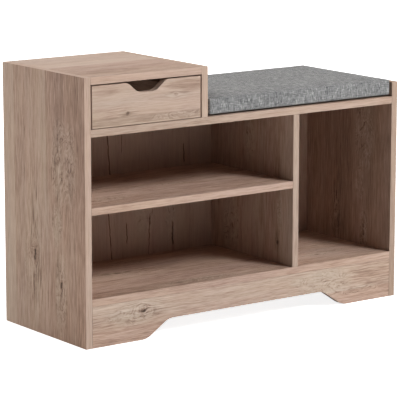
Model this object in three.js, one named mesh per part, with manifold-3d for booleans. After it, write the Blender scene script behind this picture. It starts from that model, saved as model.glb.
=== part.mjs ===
// Entryway bench: a drawer tower, an open shoe compartment with a shelf, a tall compartment and a seat.
// Millimetres, +Z up, front at -Y, +X to the right, origin on the floor under the middle of the bench.
import * as THREE from "three";
import { mergeVertices } from "three/addons/utils/BufferGeometryUtils.js";
import Module from "manifold-3d";

const wasm = await Module();
wasm.setup();

// Driving dimensions
const WIDTH = 800;
const DEPTH = 300;
const TOWER_HEIGHT = 540;
const RIGHT_HEIGHT = 468;
const TOWER_WIDTH = 297;
const BOARD = 15;
const SEAT_TOP = 437;
const SHELF_TOP = 282;
const BOTTOM_TOP = 99;
const DIVIDER_X = 125;
const CLEAR = 0.3;

// Back panels, held in grooves
const BACK_BOARD = 3;
const BACK_SETBACK = 11;
const GROOVE_DEPTH = 5;
const GROOVE_SLACK = 0.4;

// Apron and rear rail under the bottom panel
const FOOT_LENGTH = 146;
const ARCH_START = 200;
const ARCH_HEIGHT = 35.5;
const ARCH_ROUND = 40;
const RAIL_HEIGHT = 60;

// Drawer
const FRONT_SIDE_GAP = 3.3;
const FRONT_TOP_GAP = 3;
const FRONT_BOTTOM_GAP = 1.4;
const DRAWER_BOARD = 12;
const DRAWER_SIDE_GAP = 12.5;
const DRAWER_BOX_BOTTOM = SEAT_TOP + 9.5;
const DRAWER_BOX_HEIGHT = 51.5;
const DRAWER_BOX_DEPTH = 250;
const DRAWER_FLOOR = 3;
const DRAWER_FLOOR_LIFT = 5.5;
const DRAWER_GROOVE = 4;
const GRIP_TOP_HALF = 46;
const GRIP_BOTTOM_HALF = 20.5;
const GRIP_DEPTH = 21;
const GRIP_TOP_ROUND = 17;
const GRIP_BOTTOM_ROUND = 27;

// Roller slides
const STEEL = 1;
const RUNNER_LENGTH = 250;
const RUNNER_HEIGHT = 22;
const TRACK_WIDTH = 10;
const LIP_WIDTH = 4.7;
const FRONT_ROLLER_RADIUS = 6;
const REAR_ROLLER_RADIUS = 5.5;
const ROLLER_WIDTH = 8;
const PIN_RADIUS = 2;
const PIN_SLACK = 0.35;
const PIN_HEAD_RADIUS = 3.2;
const PIN_HEAD = 0.6;
const RUNNING_GAP = 0.5;

// Cushion and its holding pads
const CUSHION_HEIGHT = 33;
const CUSHION_LIFT = 3.7;
const CUSHION_END_GAP = 3;
const CUSHION_FRONT_GAP = 1.5;
const CUSHION_CORNER = 7;
const CUSHION_EDGE = 3;
const BASE_BOARD = 4;
const BASE_INSET = 12;
const PAD_SIZE = 40;
const PAD_HEIGHT = 2.7;
const PAD_INSET = 45;

// Cam fittings and shelf pins
const CAM_RADIUS = 7.3;
const CAM_HEIGHT = 11.2;
const CAM_FROM_END = 24;
const CAM_FROM_EDGE = 50;
const CAM_POCKET = 11.8;
const CAM_WALL = 2.8;
const CROSS_RECESS_HALF = [4, 0.9];
const CROSS_RECESS_DEPTH = 1.8;
const BOLT_BORE = 4;
const BOLT_THREAD_RADIUS = 2.9;
const BOLT_SHANK_RADIUS = 2.6;
const BOLT_HEAD_RADIUS = 3.4;
const BOLT_IN_UPRIGHT = 10;
const SHELF_PIN_RADIUS = 2.5;
const SHELF_PIN_LENGTH = 16;

// Where the faces lie
const LEFT = -WIDTH / 2;
const RIGHT = WIDTH / 2;
const FRONT = -DEPTH / 2;
const REAR = DEPTH / 2;
const INNER_LEFT = LEFT + BOARD;
const INNER_RIGHT = RIGHT - BOARD;
const TOWER_RIGHT = LEFT + TOWER_WIDTH;
const TOWER_INNER = TOWER_RIGHT - BOARD;
const TOWER_MIDDLE = (INNER_LEFT + TOWER_INNER) / 2;
const SEAT_UNDER = SEAT_TOP - BOARD;
const SHELF_UNDER = SHELF_TOP - BOARD;
const BOTTOM_UNDER = BOTTOM_TOP - BOARD;
const TOP_UNDER = TOWER_HEIGHT - BOARD;
const DIVIDER_LEFT = DIVIDER_X - BOARD / 2;
const DIVIDER_RIGHT = DIVIDER_X + BOARD / 2;
const BACK_REAR = REAR - BACK_SETBACK;
const BACK_FRONT = BACK_REAR - BACK_BOARD;
const DRAWER_LEFT = INNER_LEFT + DRAWER_SIDE_GAP;
const DRAWER_RIGHT = TOWER_INNER - DRAWER_SIDE_GAP;
const DRAWER_FRONT_REAR = FRONT + BOARD;
const DRAWER_REAR = DRAWER_FRONT_REAR + DRAWER_BOX_DEPTH;
const DRAWER_FLOOR_UNDER = DRAWER_BOX_BOTTOM + DRAWER_FLOOR_LIFT;

// Finishes
const WOOD = { color: 0xc3a996, roughness: 0.62, metalness: 0 };
const SHADE_WOOD = { color: 0x8f7565, roughness: 0.7, metalness: 0 };
const FABRIC = { color: 0x8d8e8f, roughness: 0.95, metalness: 0 };
const PLY = { color: 0xb59a74, roughness: 0.8, metalness: 0 };
const HOOK_TAPE = { color: 0x1d1c1c, roughness: 0.95, metalness: 0 };
const ZINC = { color: 0xb9bbbe, roughness: 0.35, metalness: 0.9 };
const WHITE_STEEL = { color: 0xe6e5e1, roughness: 0.4, metalness: 0.3 };
const NYLON = { color: 0xf0efe9, roughness: 0.45, metalness: 0 };

const bench = new THREE.Group();

function place(name, geometry, finish) {
  const mesh = new THREE.Mesh(geometry, new THREE.MeshStandardMaterial(finish));
  mesh.name = name;
  bench.add(mesh);
}

// A box between two corners.
function box(low, high) {
  const size = high.map((value, axis) => value - low[axis]);
  const geometry = new THREE.BoxGeometry(...size);
  geometry.translate(...high.map((value, axis) => (value + low[axis]) / 2));
  return geometry;
}

// A cylinder along an axis ("x" or "z") between two stations on it.
function rod(axis, radius, from, to, centre, sides = 20) {
  const geometry = new THREE.CylinderGeometry(radius, radius, to - from, sides);
  const middle = (from + to) / 2;
  if (axis === "x") {
    geometry.rotateZ(Math.PI / 2);
    geometry.translate(middle, centre[0], centre[1]);
  } else {
    geometry.rotateX(Math.PI / 2);
    geometry.translate(centre[0], centre[1], middle);
  }
  return geometry;
}

function toSolid(geometry) {
  const bare = geometry.clone();
  bare.deleteAttribute("normal");
  bare.deleteAttribute("uv");
  const merged = mergeVertices(bare, 1e-4);
  return new wasm.Manifold(
    new wasm.Mesh({
      numProp: 3,
      vertProperties: merged.attributes.position.array,
      triVerts: new Uint32Array(merged.index.array),
    }),
  );
}

function toGeometry(solid) {
  const { vertProperties, triVerts } = solid.getMesh();
  const geometry = new THREE.BufferGeometry();
  geometry.setAttribute("position", new THREE.BufferAttribute(vertProperties, 3));
  geometry.setIndex(new THREE.BufferAttribute(triVerts, 1));
  geometry.computeVertexNormals();
  return geometry;
}

function cut(geometry, tools) {
  const left = tools.reduce((solid, tool) => solid.subtract(toSolid(tool)), toSolid(geometry));
  return toGeometry(left);
}

function join(geometries) {
  const [first, ...others] = geometries.map(toSolid);
  return toGeometry(others.reduce((solid, other) => solid.add(other), first));
}

// An outline in the X-Z plane, extruded from the front plane back by a thickness.
function extrudeBack(shape, frontY, thickness) {
  const options = { depth: thickness, bevelEnabled: false, curveSegments: 10 };
  const geometry = new THREE.ExtrudeGeometry(shape, options);
  geometry.rotateX(Math.PI / 2);
  geometry.translate(0, frontY + thickness, 0);
  return geometry;
}

// Adds a corner of the outline, rounded by an arc of the given radius.
function roundedCorner(shape, before, corner, after, radius) {
  const here = new THREE.Vector2(...corner);
  const back = new THREE.Vector2(...before).sub(here).normalize();
  const ahead = new THREE.Vector2(...after).sub(here).normalize();
  const halfAngle = Math.acos(back.dot(ahead)) / 2;
  const tangent = radius / Math.tan(halfAngle);
  const start = here.clone().addScaledVector(back, tangent);
  const end = here.clone().addScaledVector(ahead, tangent);
  const middle = back.clone().add(ahead).normalize();
  const centre = here.clone().addScaledVector(middle, radius / Math.sin(halfAngle));
  const from = start.clone().sub(centre).angle();
  const to = end.clone().sub(centre).angle();
  const turn = back.x * ahead.y - back.y * ahead.x;
  shape.lineTo(start.x, start.y);
  shape.absarc(centre.x, centre.y, radius, from, to, turn > 0);
}

// The groove in an upright's inner face that takes a back panel.
function uprightGroove(innerFace, side, zLow, zHigh) {
  const faces = [innerFace - side * GROOVE_DEPTH, innerFace + side * BOARD];
  return box(
    [Math.min(...faces), BACK_FRONT - GROOVE_SLACK, zLow - GROOVE_DEPTH],
    [Math.max(...faces), BACK_REAR + GROOVE_SLACK, zHigh + GROOVE_DEPTH],
  );
}

// The groove in a level panel's face that takes a back panel; up is 1 for a top face, -1 for an underside.
function levelGroove(face, up, xLow, xHigh) {
  const faces = [face - up * GROOVE_DEPTH, face + up * BOARD];
  return box(
    [xLow, BACK_FRONT - GROOVE_SLACK, Math.min(...faces)],
    [xHigh, BACK_REAR + GROOVE_SLACK, Math.max(...faces)],
  );
}

// The cam joints: each level panel's end meets an upright at a front and a rear station.
const CAM_STATIONS = { front: FRONT + CAM_FROM_EDGE, rear: BACK_FRONT - CAM_FROM_EDGE };
const CAM_JOINTS = [
  { name: "tower_top_left", end: INNER_LEFT, into: 1, underside: TOP_UNDER },
  { name: "tower_top_right", end: TOWER_INNER, into: -1, underside: TOP_UNDER },
  { name: "seat_left", end: INNER_LEFT, into: 1, underside: SEAT_UNDER },
  { name: "seat_right", end: INNER_RIGHT, into: -1, underside: SEAT_UNDER },
  { name: "bottom_left", end: INNER_LEFT, into: 1, underside: BOTTOM_UNDER },
  { name: "bottom_right", end: INNER_RIGHT, into: -1, underside: BOTTOM_UNDER },
];

// The pocket and bolt bore that each joint cuts in its level panel.
function camPockets(joints) {
  return joints.flatMap(({ end, into, underside }) =>
    Object.values(CAM_STATIONS).flatMap((y) => {
      const camX = end + into * CAM_FROM_END;
      const ends = [end - into, camX];
      return [
        rod("z", CAM_RADIUS + CLEAR, underside - 1, underside + CAM_POCKET, [camX, y]),
        rod("x", BOLT_BORE, Math.min(...ends), Math.max(...ends), [y, underside + BOARD / 2], 12),
      ];
    }),
  );
}

// The blind holes that each joint's bolts screw into in an upright.
function boltHoles(joints) {
  return joints.flatMap(({ end, into, underside }) =>
    Object.values(CAM_STATIONS).map((y) => {
      const ends = [end - into * (BOLT_IN_UPRIGHT + CLEAR), end + into];
      const radius = BOLT_THREAD_RADIUS + CLEAR;
      return rod("x", radius, Math.min(...ends), Math.max(...ends), [y, underside + BOARD / 2], 12);
    }),
  );
}

const jointsNamed = (...names) => CAM_JOINTS.filter((joint) => names.includes(joint.name));

// Shelf pins stand out of the left upright and the divider, just under the shelf.
const PIN_Z = SHELF_UNDER - SHELF_PIN_RADIUS - CLEAR;
const PIN_ENDS = [
  { name: "left", face: INNER_LEFT, into: 1 },
  { name: "right", face: DIVIDER_LEFT, into: -1 },
];

function shelfPinSpan({ face, into }, slack) {
  const ends = [face - into * (SHELF_PIN_LENGTH / 2 + slack), face + into * (SHELF_PIN_LENGTH / 2)];
  return [Math.min(...ends), Math.max(...ends)];
}

function shelfPinHoles(end) {
  const [from, to] = shelfPinSpan(end, CLEAR);
  return Object.values(CAM_STATIONS).map((y) => rod("x", SHELF_PIN_RADIUS + CLEAR, from, to, [y, PIN_Z], 12));
}

// Uprights

function leftSidePanel() {
  const panel = box([LEFT, FRONT, 0], [INNER_LEFT, REAR, TOWER_HEIGHT]);
  const cuts = [
    uprightGroove(INNER_LEFT, 1, BOTTOM_TOP, SEAT_UNDER),
    uprightGroove(INNER_LEFT, 1, SEAT_TOP, TOP_UNDER),
    ...boltHoles(jointsNamed("tower_top_left", "seat_left", "bottom_left")),
    ...shelfPinHoles(PIN_ENDS[0]),
  ];
  place("left_side_panel", cut(panel, cuts), WOOD);
}

function rightSidePanel() {
  const panel = box([INNER_RIGHT, FRONT, 0], [RIGHT, REAR, RIGHT_HEIGHT]);
  const cuts = [
    uprightGroove(INNER_RIGHT, -1, BOTTOM_TOP, SEAT_UNDER),
    ...boltHoles(jointsNamed("seat_right", "bottom_right")),
  ];
  place("right_side_panel", cut(panel, cuts), WOOD);
}

function towerSidePanel() {
  const panel = box([TOWER_INNER, FRONT, SEAT_TOP + CLEAR], [TOWER_RIGHT, REAR, TOWER_HEIGHT]);
  const cuts = [
    uprightGroove(TOWER_INNER, -1, SEAT_TOP, TOP_UNDER),
    ...boltHoles(jointsNamed("tower_top_right")),
  ];
  place("tower_side_panel", cut(panel, cuts), WOOD);
}

function middleDivider() {
  const panel = box(
    [DIVIDER_LEFT, FRONT, BOTTOM_TOP + CLEAR],
    [DIVIDER_RIGHT, BACK_FRONT - CLEAR, SEAT_UNDER - CLEAR],
  );
  place("middle_divider", cut(panel, shelfPinHoles(PIN_ENDS[1])), WOOD);
}

// Level panels

function towerTopPanel() {
  const panel = box([INNER_LEFT + CLEAR, FRONT, TOP_UNDER], [TOWER_INNER - CLEAR, REAR, TOWER_HEIGHT]);
  const cuts = [
    levelGroove(TOP_UNDER, -1, LEFT, TOWER_RIGHT),
    ...camPockets(jointsNamed("tower_top_left", "tower_top_right")),
  ];
  place("tower_top_panel", cut(panel, cuts), WOOD);
}

function seatPanel() {
  const panel = box([INNER_LEFT + CLEAR, FRONT, SEAT_UNDER], [INNER_RIGHT - CLEAR, REAR, SEAT_TOP]);
  const cuts = [
    levelGroove(SEAT_UNDER, -1, LEFT, RIGHT),
    levelGroove(SEAT_TOP, 1, LEFT, TOWER_INNER + GROOVE_DEPTH),
    ...camPockets(jointsNamed("seat_left", "seat_right")),
  ];
  place("seat_panel", cut(panel, cuts), WOOD);
}

function middleShelf() {
  const low = [INNER_LEFT + CLEAR, FRONT, SHELF_UNDER];
  const high = [DIVIDER_LEFT - CLEAR, BACK_FRONT - CLEAR, SHELF_TOP];
  place("middle_shelf", box(low, high), WOOD);
}

function bottomPanel() {
  const panel = box([INNER_LEFT + CLEAR, FRONT, BOTTOM_UNDER], [INNER_RIGHT - CLEAR, REAR, BOTTOM_TOP]);
  const cuts = [
    levelGroove(BOTTOM_TOP, 1, LEFT, RIGHT),
    ...camPockets(jointsNamed("bottom_left", "bottom_right")),
  ];
  place("bottom_panel", cut(panel, cuts), WOOD);
}

// Apron, rail and backs

function frontApron() {
  const end = INNER_RIGHT - CLEAR;
  const top = BOTTOM_UNDER - CLEAR;
  const foot = RIGHT - FOOT_LENGTH;
  const arch = RIGHT - ARCH_START;
  const shape = new THREE.Shape();
  shape.moveTo(-end, top);
  shape.lineTo(-end, 0);
  roundedCorner(shape, [-end, 0], [-foot, 0], [-arch, ARCH_HEIGHT], ARCH_ROUND);
  roundedCorner(shape, [-foot, 0], [-arch, ARCH_HEIGHT], [arch, ARCH_HEIGHT], ARCH_ROUND);
  roundedCorner(shape, [-arch, ARCH_HEIGHT], [arch, ARCH_HEIGHT], [foot, 0], ARCH_ROUND);
  roundedCorner(shape, [arch, ARCH_HEIGHT], [foot, 0], [end, 0], ARCH_ROUND);
  shape.lineTo(end, 0);
  shape.lineTo(end, top);
  place("front_apron", extrudeBack(shape, FRONT, BOARD), WOOD);
}

function rearRail() {
  const top = BOTTOM_UNDER - CLEAR;
  const low = [INNER_LEFT + CLEAR, BACK_FRONT - BOARD, top - RAIL_HEIGHT];
  place("rear_rail", box(low, [INNER_RIGHT - CLEAR, BACK_FRONT, top]), WOOD);
}

function backPanels() {
  const reach = GROOVE_DEPTH - GROOVE_SLACK;
  const low = [INNER_LEFT - reach, BACK_FRONT, BOTTOM_TOP - reach];
  place("back_panel", box(low, [INNER_RIGHT + reach, BACK_REAR, SEAT_UNDER + reach]), SHADE_WOOD);
  const towerLow = [INNER_LEFT - reach, BACK_FRONT, SEAT_TOP - reach];
  place("tower_back_panel", box(towerLow, [TOWER_INNER + reach, BACK_REAR, TOP_UNDER + reach]), SHADE_WOOD);
}

// Drawer

function drawerFront() {
  const left = INNER_LEFT + FRONT_SIDE_GAP;
  const right = TOWER_INNER - FRONT_SIDE_GAP;
  const bottom = SEAT_TOP + FRONT_BOTTOM_GAP;
  const top = TOP_UNDER - FRONT_TOP_GAP;
  const gripTopLeft = [TOWER_MIDDLE - GRIP_TOP_HALF, top];
  const gripTopRight = [TOWER_MIDDLE + GRIP_TOP_HALF, top];
  const gripBottomLeft = [TOWER_MIDDLE - GRIP_BOTTOM_HALF, top - GRIP_DEPTH];
  const gripBottomRight = [TOWER_MIDDLE + GRIP_BOTTOM_HALF, top - GRIP_DEPTH];
  const shape = new THREE.Shape();
  shape.moveTo(left, bottom);
  shape.lineTo(right, bottom);
  shape.lineTo(right, top);
  roundedCorner(shape, [right, top], gripTopRight, gripBottomRight, GRIP_TOP_ROUND);
  roundedCorner(shape, gripTopRight, gripBottomRight, gripBottomLeft, GRIP_BOTTOM_ROUND);
  roundedCorner(shape, gripBottomRight, gripBottomLeft, gripTopLeft, GRIP_BOTTOM_ROUND);
  roundedCorner(shape, gripBottomLeft, gripTopLeft, [left, top], GRIP_TOP_ROUND);
  shape.lineTo(left, top);
  const groove = drawerFloorGroove(DRAWER_LEFT, DRAWER_RIGHT, DRAWER_FRONT_REAR - DRAWER_GROOVE, 0);
  place("drawer_front", cut(extrudeBack(shape, FRONT, BOARD), [groove]), WOOD);
}

// The slot that the drawer's thin floor slides into.
function drawerFloorGroove(xLow, xHigh, yLow, yHigh) {
  return box(
    [xLow, yLow, DRAWER_FLOOR_UNDER - GROOVE_SLACK],
    [xHigh, yHigh, DRAWER_FLOOR_UNDER + DRAWER_FLOOR + GROOVE_SLACK],
  );
}

function drawerSides() {
  const low = DRAWER_BOX_BOTTOM;
  const high = low + DRAWER_BOX_HEIGHT;
  const from = DRAWER_FRONT_REAR + CLEAR;
  const leftInner = DRAWER_LEFT + DRAWER_BOARD;
  const rightInner = DRAWER_RIGHT - DRAWER_BOARD;
  const left = box([DRAWER_LEFT, from, low], [leftInner, DRAWER_REAR, high]);
  const right = box([rightInner, from, low], [DRAWER_RIGHT, DRAWER_REAR, high]);
  const grooveLeft = drawerFloorGroove(leftInner - DRAWER_GROOVE, TOWER_MIDDLE, FRONT, REAR);
  const grooveRight = drawerFloorGroove(TOWER_MIDDLE, rightInner + DRAWER_GROOVE, FRONT, REAR);
  place("drawer_left_side", cut(left, [grooveLeft]), WOOD);
  place("drawer_right_side", cut(right, [grooveRight]), WOOD);
}

function drawerBackAndFloor() {
  const leftInner = DRAWER_LEFT + DRAWER_BOARD;
  const rightInner = DRAWER_RIGHT - DRAWER_BOARD;
  const floorTop = DRAWER_FLOOR_UNDER + DRAWER_FLOOR;
  const reach = DRAWER_GROOVE - GROOVE_SLACK;
  const back = box(
    [leftInner + CLEAR, DRAWER_REAR - DRAWER_BOARD, floorTop + CLEAR],
    [rightInner - CLEAR, DRAWER_REAR, DRAWER_BOX_BOTTOM + DRAWER_BOX_HEIGHT],
  );
  const floor = box(
    [leftInner - reach, DRAWER_FRONT_REAR - reach, DRAWER_FLOOR_UNDER],
    [rightInner + reach, DRAWER_REAR, floorTop],
  );
  place("drawer_back", back, WOOD);
  place("drawer_bottom", floor, SHADE_WOOD);
}

// Roller slides. side is 1 for the left slide; the right slide is its mirror image about the drawer's middle.

const TRACK_TOP = SEAT_TOP + 10;
const RUNNER_BOTTOM = TRACK_TOP - STEEL;
const FRONT_ROLLER_Y = DRAWER_FRONT_REAR + 13;
const REAR_ROLLER_Y = DRAWER_REAR - 8;
const REAR_ROLLER_Z = TRACK_TOP + CLEAR + REAR_ROLLER_RADIUS;
const RAIL_FLANGE_Z = RUNNER_BOTTOM + 16;
const FRONT_ROLLER_Z = RAIL_FLANGE_Z - CLEAR - FRONT_ROLLER_RADIUS;
const CABINET_WEB = INNER_LEFT + CLEAR;
const DRAWER_WEB = DRAWER_LEFT - CLEAR - STEEL;

// A box given on the left slide, mirrored when side is -1.
function slideBox(side, low, high) {
  if (side === 1) return box(low, high);
  const mirror = (x) => 2 * TOWER_MIDDLE - x;
  return box([mirror(high[0]), low[1], low[2]], [mirror(low[0]), high[1], high[2]]);
}

function slideRod(side, radius, from, to, centre, sides) {
  if (side === 1) return rod("x", radius, from, to, centre, sides);
  return rod("x", radius, 2 * TOWER_MIDDLE - to, 2 * TOWER_MIDDLE - from, centre, sides);
}

function cabinetRunner(name, side) {
  const from = DRAWER_FRONT_REAR + 3;
  const to = from + RUNNER_LENGTH;
  const web = CABINET_WEB + STEEL;
  const pinEnd = DRAWER_WEB - RUNNING_GAP;
  const centre = [FRONT_ROLLER_Y, FRONT_ROLLER_Z];
  const pieces = [
    slideBox(side, [CABINET_WEB, from, RUNNER_BOTTOM], [web, to, RUNNER_BOTTOM + RUNNER_HEIGHT]),
    slideBox(side, [CABINET_WEB, from, RUNNER_BOTTOM], [CABINET_WEB + TRACK_WIDTH, to, TRACK_TOP]),
    slideBox(
      side,
      [CABINET_WEB, from, RUNNER_BOTTOM + RUNNER_HEIGHT - STEEL],
      [CABINET_WEB + LIP_WIDTH, to, RUNNER_BOTTOM + RUNNER_HEIGHT],
    ),
    slideRod(side, PIN_RADIUS, CABINET_WEB + STEEL / 2, pinEnd, centre, 16),
    slideRod(side, PIN_HEAD_RADIUS, pinEnd - PIN_HEAD, pinEnd, centre, 16),
  ];
  place(name, join(pieces), WHITE_STEEL);
}

function drawerRunner(name, side) {
  const from = DRAWER_FRONT_REAR + 1;
  const to = DRAWER_REAR - 1;
  const flangeTop = DRAWER_BOX_BOTTOM - CLEAR;
  const inner = DRAWER_WEB + STEEL;
  const pinEnd = CABINET_WEB + STEEL + RUNNING_GAP;
  const centre = [REAR_ROLLER_Y, REAR_ROLLER_Z];
  const pieces = [
    slideBox(side, [DRAWER_WEB, from, flangeTop - STEEL], [inner, to, RAIL_FLANGE_Z + STEEL]),
    slideBox(side, [DRAWER_WEB, from, flangeTop - STEEL], [DRAWER_LEFT + DRAWER_BOARD - 1, to, flangeTop]),
    slideBox(side, [DRAWER_WEB - 9, from, RAIL_FLANGE_Z], [inner, to, RAIL_FLANGE_Z + STEEL]),
    slideRod(side, PIN_RADIUS, pinEnd, DRAWER_WEB + STEEL / 2, centre, 16),
    slideRod(side, PIN_HEAD_RADIUS, pinEnd, pinEnd + PIN_HEAD, centre, 16),
  ];
  place(name, join(pieces), WHITE_STEEL);
}

// A bored nylon wheel with a shallow crown, turning on a pin along X.
function roller(name, side, radius, from, centre) {
  const bore = PIN_RADIUS + PIN_SLACK;
  const edge = 0.5;
  const profile = [
    [bore, 0],
    [radius - edge, 0],
    [radius, edge],
    [radius, ROLLER_WIDTH - edge],
    [radius - edge, ROLLER_WIDTH],
    [bore, ROLLER_WIDTH],
    [bore, 0],
  ].map(([r, along]) => new THREE.Vector2(r, along));
  const geometry = new THREE.LatheGeometry(profile, 24);
  geometry.rotateZ(-Math.PI / 2);
  const start = side === 1 ? from : 2 * TOWER_MIDDLE - from - ROLLER_WIDTH;
  geometry.translate(start, centre[0], centre[1]);
  place(name, geometry, NYLON);
}

function rollers() {
  const cabinetStart = CABINET_WEB + STEEL + CLEAR;
  const drawerStart = DRAWER_WEB - CLEAR - ROLLER_WIDTH;
  const front = [FRONT_ROLLER_Y, FRONT_ROLLER_Z];
  const rear = [REAR_ROLLER_Y, REAR_ROLLER_Z];
  roller("cabinet_roller_left", 1, FRONT_ROLLER_RADIUS, cabinetStart, front);
  roller("cabinet_roller_right", -1, FRONT_ROLLER_RADIUS, cabinetStart, front);
  roller("drawer_roller_left", 1, REAR_ROLLER_RADIUS, drawerStart, rear);
  roller("drawer_roller_right", -1, REAR_ROLLER_RADIUS, drawerStart, rear);
}

// Cushion

const CUSHION_LOW = SEAT_TOP + CUSHION_LIFT;
const CUSHION_LEFT = TOWER_RIGHT + CUSHION_END_GAP;
const CUSHION_RIGHT = INNER_RIGHT - CUSHION_END_GAP;
const CUSHION_FRONT = FRONT + CUSHION_FRONT_GAP;
const CUSHION_REAR = REAR - CUSHION_FRONT_GAP;

// A rectangle with round corners, in the X-Y plane, drawn in from the cushion's outline.
function cushionOutline(inset) {
  const [x0, x1] = [CUSHION_LEFT + inset, CUSHION_RIGHT - inset];
  const [y0, y1] = [CUSHION_FRONT + inset, CUSHION_REAR - inset];
  const shape = new THREE.Shape();
  shape.moveTo((x0 + x1) / 2, y0);
  roundedCorner(shape, [x0, y0], [x1, y0], [x1, y1], CUSHION_CORNER);
  roundedCorner(shape, [x1, y0], [x1, y1], [x0, y1], CUSHION_CORNER);
  roundedCorner(shape, [x1, y1], [x0, y1], [x0, y0], CUSHION_CORNER);
  roundedCorner(shape, [x0, y1], [x0, y0], [x1, y0], CUSHION_CORNER);
  return shape;
}

// The padded body, with a recess underneath for the base board.
function seatCushion() {
  const body = new THREE.ExtrudeGeometry(cushionOutline(CUSHION_EDGE), {
    depth: CUSHION_HEIGHT - 2 * CUSHION_EDGE,
    bevelThickness: CUSHION_EDGE,
    bevelSize: CUSHION_EDGE,
    bevelSegments: 2,
    curveSegments: 5,
  });
  body.translate(0, 0, CUSHION_LOW + CUSHION_EDGE);
  const inset = BASE_INSET - CLEAR;
  const recess = box(
    [CUSHION_LEFT + inset, CUSHION_FRONT + inset, CUSHION_LOW - 1],
    [CUSHION_RIGHT - inset, CUSHION_REAR - inset, CUSHION_LOW + BASE_BOARD + CLEAR],
  );
  place("seat_cushion", cut(body, [recess]), FABRIC);
}

function cushionBaseBoard() {
  const board = box(
    [CUSHION_LEFT + BASE_INSET, CUSHION_FRONT + BASE_INSET, CUSHION_LOW],
    [CUSHION_RIGHT - BASE_INSET, CUSHION_REAR - BASE_INSET, CUSHION_LOW + BASE_BOARD],
  );
  place("cushion_base_board", board, PLY);
}

// Hook pads stuck to the seat panel, which hold the cushion down.
function hookPads() {
  const columns = { left: CUSHION_LEFT + PAD_INSET, right: CUSHION_RIGHT - PAD_INSET };
  const rows = { front: CUSHION_FRONT + PAD_INSET, rear: CUSHION_REAR - PAD_INSET };
  const half = PAD_SIZE / 2;
  for (const [column, x] of Object.entries(columns)) {
    for (const [row, y] of Object.entries(rows)) {
      const low = [x - half, y - half, SEAT_TOP + CLEAR];
      const high = [x + half, y + half, SEAT_TOP + CLEAR + PAD_HEIGHT];
      place(`hook_pad_${row}_${column}`, box(low, high), HOOK_TAPE);
    }
  }
}

// Fittings

// A cam nut: a disc with a cross recess in its face and a slot in its side for the bolt's head.
function camNut(name, camX, y, into, underside) {
  const face = underside + CLEAR;
  const boltZ = underside + BOARD / 2;
  const [long, short] = CROSS_RECESS_HALF;
  const deep = face + CROSS_RECESS_DEPTH;
  const ends = [camX - into * CAM_HEIGHT, camX + into * (CAM_RADIUS - CAM_WALL)];
  const tools = [
    rod("x", BOLT_HEAD_RADIUS + 0.5, Math.min(...ends), Math.max(...ends), [y, boltZ], 12),
    box([camX - long, y - short, face - 1], [camX + long, y + short, deep]),
    box([camX - short, y - long, face - 1], [camX + short, y + long, deep]),
  ];
  place(name, cut(rod("z", CAM_RADIUS, face, face + CAM_HEIGHT, [camX, y], 24), tools), ZINC);
}

// A cam bolt: a threaded end in the upright, a shank, and a ball head inside the cam nut.
function camBolt(name, end, y, into, underside) {
  const length = BOLT_IN_UPRIGHT + CAM_FROM_END;
  const collar = BOLT_IN_UPRIGHT - CLEAR;
  const profile = [
    [0, 0],
    [BOLT_THREAD_RADIUS, 1.5],
    [BOLT_THREAD_RADIUS, collar],
    [BOLT_SHANK_RADIUS, collar + 1],
    [BOLT_SHANK_RADIUS, length - 3],
    [BOLT_HEAD_RADIUS, length - 1],
    [BOLT_HEAD_RADIUS, length + 1],
    [0, length + 2.5],
  ].map(([r, along]) => new THREE.Vector2(r, along));
  const geometry = new THREE.LatheGeometry(profile, 12);
  geometry.rotateZ(into === 1 ? -Math.PI / 2 : Math.PI / 2);
  geometry.translate(end - into * BOLT_IN_UPRIGHT, y, underside + BOARD / 2);
  place(name, geometry, ZINC);
}

function camFittings() {
  for (const { name, end, into, underside } of CAM_JOINTS) {
    for (const [station, y] of Object.entries(CAM_STATIONS)) {
      camNut(`cam_nut_${name}_${station}`, end + into * CAM_FROM_END, y, into, underside);
      camBolt(`cam_bolt_${name}_${station}`, end, y, into, underside);
    }
  }
}

function shelfPins() {
  for (const end of PIN_ENDS) {
    const [from, to] = shelfPinSpan(end, 0);
    for (const [station, y] of Object.entries(CAM_STATIONS)) {
      place(`shelf_pin_${end.name}_${station}`, rod("x", SHELF_PIN_RADIUS, from, to, [y, PIN_Z], 16), ZINC);
    }
  }
}

leftSidePanel();
rightSidePanel();
towerSidePanel();
middleDivider();
towerTopPanel();
seatPanel();
middleShelf();
bottomPanel();
frontApron();
rearRail();
backPanels();
drawerFront();
drawerSides();
drawerBackAndFloor();
cabinetRunner("cabinet_runner_left", 1);
cabinetRunner("cabinet_runner_right", -1);
drawerRunner("drawer_runner_left", 1);
drawerRunner("drawer_runner_right", -1);
rollers();
seatCushion();
cushionBaseBoard();
hookPads();
camFittings();
shelfPins();

export default bench;
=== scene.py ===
import math
import random

import bmesh
import bpy
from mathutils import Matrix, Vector

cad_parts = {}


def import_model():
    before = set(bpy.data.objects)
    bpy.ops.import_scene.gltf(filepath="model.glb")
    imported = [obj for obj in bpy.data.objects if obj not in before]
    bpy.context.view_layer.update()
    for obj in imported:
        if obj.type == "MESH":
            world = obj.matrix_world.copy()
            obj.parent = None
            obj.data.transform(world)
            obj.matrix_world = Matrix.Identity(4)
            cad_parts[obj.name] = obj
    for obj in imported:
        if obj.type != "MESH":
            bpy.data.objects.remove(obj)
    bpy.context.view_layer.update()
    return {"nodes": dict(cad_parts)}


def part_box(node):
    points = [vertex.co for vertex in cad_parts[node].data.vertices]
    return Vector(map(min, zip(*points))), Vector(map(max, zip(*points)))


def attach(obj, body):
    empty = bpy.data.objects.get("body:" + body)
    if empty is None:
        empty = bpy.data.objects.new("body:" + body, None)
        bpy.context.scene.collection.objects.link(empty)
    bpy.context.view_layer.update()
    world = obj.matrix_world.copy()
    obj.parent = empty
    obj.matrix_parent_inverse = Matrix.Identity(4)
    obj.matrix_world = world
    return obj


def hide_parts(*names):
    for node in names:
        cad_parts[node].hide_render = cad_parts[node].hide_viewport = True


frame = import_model()
NODES = frame["nodes"]
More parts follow.
